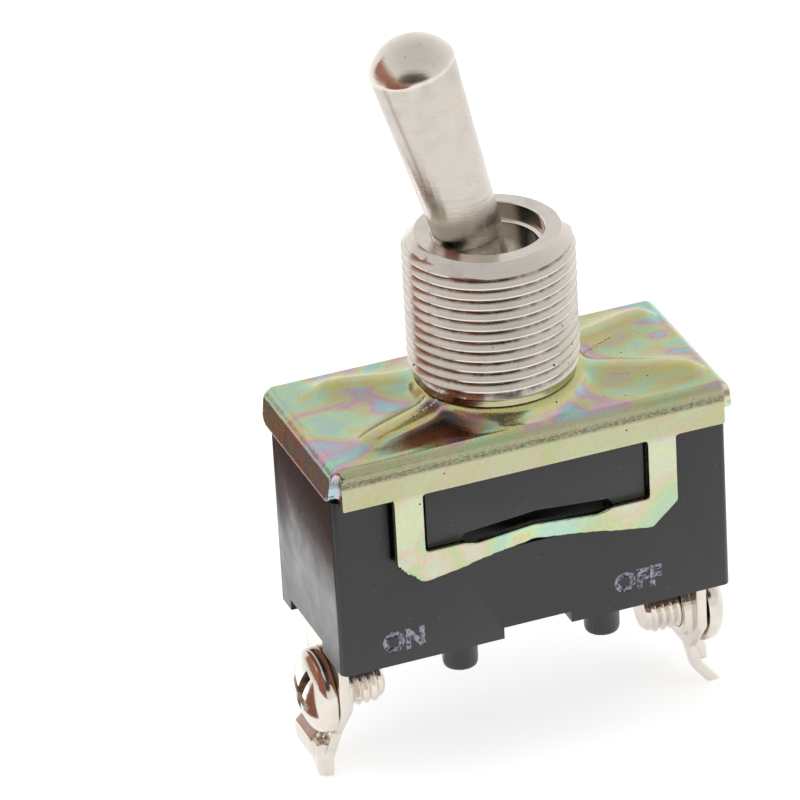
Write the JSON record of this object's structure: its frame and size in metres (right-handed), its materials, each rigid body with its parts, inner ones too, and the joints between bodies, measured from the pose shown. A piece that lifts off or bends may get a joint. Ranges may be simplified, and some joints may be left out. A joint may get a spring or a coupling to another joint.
{
  "type": "panel toggle switch",
  "caption": "Panel toggle switch with a nickel lever in a threaded bushing, a folded steel cover strapped round a black moulded case, and a screw terminal at each end.",
  "frame": {"origin": "on the threaded bushing's axis, where the thread begins above its plain relief", "axes": "+Z along the bushing towards the lever, +X towards the OFF end of the case, +Y to the back"},
  "size_m": [0.0315, 0.0142, 0.055],
  "materials": {
    "nickel_bushing": "dull nickel plate over turned brass",
    "nickel_lever": "bright nickel plate over turned brass",
    "yellow_chromate": "iridescent yellow chromate on zinc plated steel",
    "black_phenolic": "moulded black plastic, slightly glossy",
    "nickel_terminal": "nickel plated brass strip",
    "plated_screw": "nickel plated steel",
    "steel_pin": "bare ground steel",
    "spring_wire": "bare spring steel",
    "white_nylon": "natural nylon",
    "red_fibre": "vulcanised fibre sheet",
    "copper_strip": "bare copper strip",
    "silver_contact": "bare silver alloy",
    "brass_strip": "bare brass strip"
  },
  "bodies": {
    "housing": {"case_body": "black_phenolic", "cover_frame": "yellow_chromate", "threaded_bushing": "nickel_bushing", "insulating_plate": "red_fibre", "line_terminal": "nickel_terminal", "load_terminal": "nickel_terminal", "fixed_contact": "silver_contact", "rocker_saddle": "brass_strip", "rocker_pin": "steel_pin", "saddle_rivet_a": "brass_strip", "saddle_rivet_b": "brass_strip", "line_strap_rivet": "brass_strip", "load_strap_rivet": "brass_strip"},
    "lever": {"toggle_lever": "nickel_lever", "lever_pin": "steel_pin", "plunger_spring": "spring_wire"},
    "plunger": {"plunger": "white_nylon"},
    "rocker": {"rocker_blade": "copper_strip", "moving_contact": "silver_contact"},
    "line_screw": {"line_screw": "plated_screw"},
    "load_screw": {"load_screw": "plated_screw"}
  },
  "joints": [
    {"name": "lever_tilt", "type": "hinge", "parent": "housing", "child": "lever", "pos_m": [0, 0, 0.0047], "axis": [0, 1, 0], "range_deg": [0, 29]},
    {"name": "plunger_slide", "type": "slide", "parent": "lever", "child": "plunger", "axis": [-0.2504, 0, 0.9681], "range_m": [0, 0.0008], "stiffness_N_per_m": 400, "springref_m": -0.002, "deforming": ["plunger_spring"]},
    {"name": "rocker_tilt", "type": "hinge", "parent": "housing", "child": "rocker", "pos_m": [0, 0, -0.0142], "axis": [0, 1, 0], "range_deg": [-18, 0]},
    {"name": "line_screw_turn", "type": "hinge", "parent": "housing", "child": "line_screw", "pos_m": [-0.0138, 0, -0.0229], "axis": [-1, 0, 0], "range_deg": [0, 360]},
    {"name": "load_screw_turn", "type": "hinge", "parent": "housing", "child": "load_screw", "pos_m": [0.01405, 0, -0.0229], "axis": [1, 0, 0], "range_deg": [-128, 360]}
  ],
  "couplings": [
    {"joint": "rocker_tilt", "follows": "lever_tilt", "ratio": -0.62}
  ]
}
